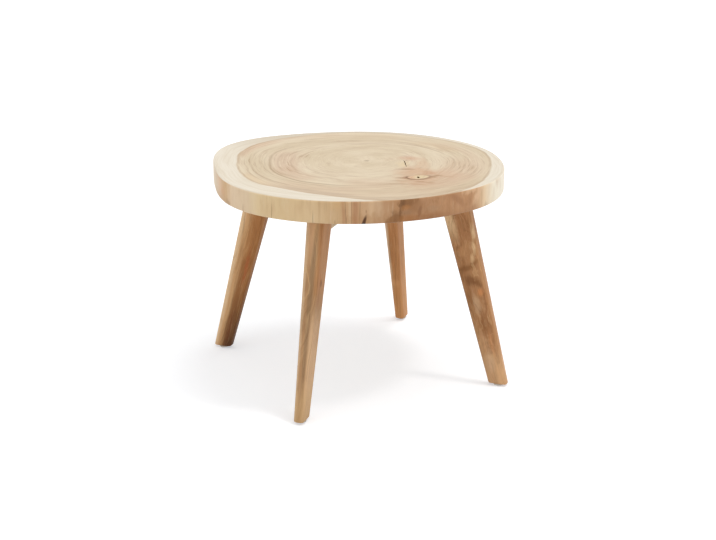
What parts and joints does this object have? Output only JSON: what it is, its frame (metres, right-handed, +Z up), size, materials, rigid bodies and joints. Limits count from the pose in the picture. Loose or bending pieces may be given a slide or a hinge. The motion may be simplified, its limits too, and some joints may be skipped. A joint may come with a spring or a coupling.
{
  "type": "round wood slice low table",
  "caption": "Round low table: a thick live-edge slice of tree trunk with visible growth rings, standing on splayed, tapered wooden legs with plastic floor glides.",
  "frame": {"origin": "on the floor, at the middle of the whole table's box, which is under the middle of the slice", "axes": "+Z up; the feet stand on the diagonals of X and Y, so -Y is the side between the two front legs and +X the side between the two right legs"},
  "size_m": [0.6448, 0.6458, 0.478],
  "materials": {
    "slice_wood": "pale end grain with growth rings, sanded and matt lacquered; bark side peeled and smoothed",
    "leg_wood": "mid brown long grain, sanded and matt lacquered",
    "block_wood": "pale, sawn and lightly sanded",
    "zinc_steel": "bright zinc plated",
    "brass": "turned, plain",
    "milky_plastic": "translucent white, smooth"
  },
  "bodies": {
    "root": {"tabletop_slice": "slice_wood", "leg_front_left": "leg_wood", "mounting_block_front_left": "block_wood", "block_bolt_inner_front_left": "zinc_steel", "bolt_washer_inner_front_left": "zinc_steel", "threaded_insert_inner_front_left": "brass", "block_bolt_outer_front_left": "zinc_steel", "bolt_washer_outer_front_left": "zinc_steel", "threaded_insert_outer_front_left": "brass", "leg_screw_right_front_left": "zinc_steel", "leg_screw_left_front_left": "zinc_steel", "floor_glide_front_left": "milky_plastic", "glide_nail_front_left": "zinc_steel", "leg_front_right": "leg_wood", "mounting_block_front_right": "block_wood", "block_bolt_inner_front_right": "zinc_steel", "bolt_washer_inner_front_right": "zinc_steel", "threaded_insert_inner_front_right": "brass", "block_bolt_outer_front_right": "zinc_steel", "bolt_washer_outer_front_right": "zinc_steel", "threaded_insert_outer_front_right": "brass", "leg_screw_right_front_right": "zinc_steel", "leg_screw_left_front_right": "zinc_steel", "floor_glide_front_right": "milky_plastic", "glide_nail_front_right": "zinc_steel", "leg_back_right": "leg_wood", "mounting_block_back_right": "block_wood", "block_bolt_inner_back_right": "zinc_steel", "bolt_washer_inner_back_right": "zinc_steel", "threaded_insert_inner_back_right": "brass", "block_bolt_outer_back_right": "zinc_steel", "bolt_washer_outer_back_right": "zinc_steel", "threaded_insert_outer_back_right": "brass", "leg_screw_right_back_right": "zinc_steel", "leg_screw_left_back_right": "zinc_steel", "floor_glide_back_right": "milky_plastic", "glide_nail_back_right": "zinc_steel", "leg_back_left": "leg_wood", "mounting_block_back_left": "block_wood", "block_bolt_inner_back_left": "zinc_steel", "bolt_washer_inner_back_left": "zinc_steel", "threaded_insert_inner_back_left": "brass", "block_bolt_outer_back_left": "zinc_steel", "bolt_washer_outer_back_left": "zinc_steel", "threaded_insert_outer_back_left": "brass", "leg_screw_right_back_left": "zinc_steel", "leg_screw_left_back_left": "zinc_steel", "floor_glide_back_left": "milky_plastic", "glide_nail_back_left": "zinc_steel"}
  },
  "joints": []
}
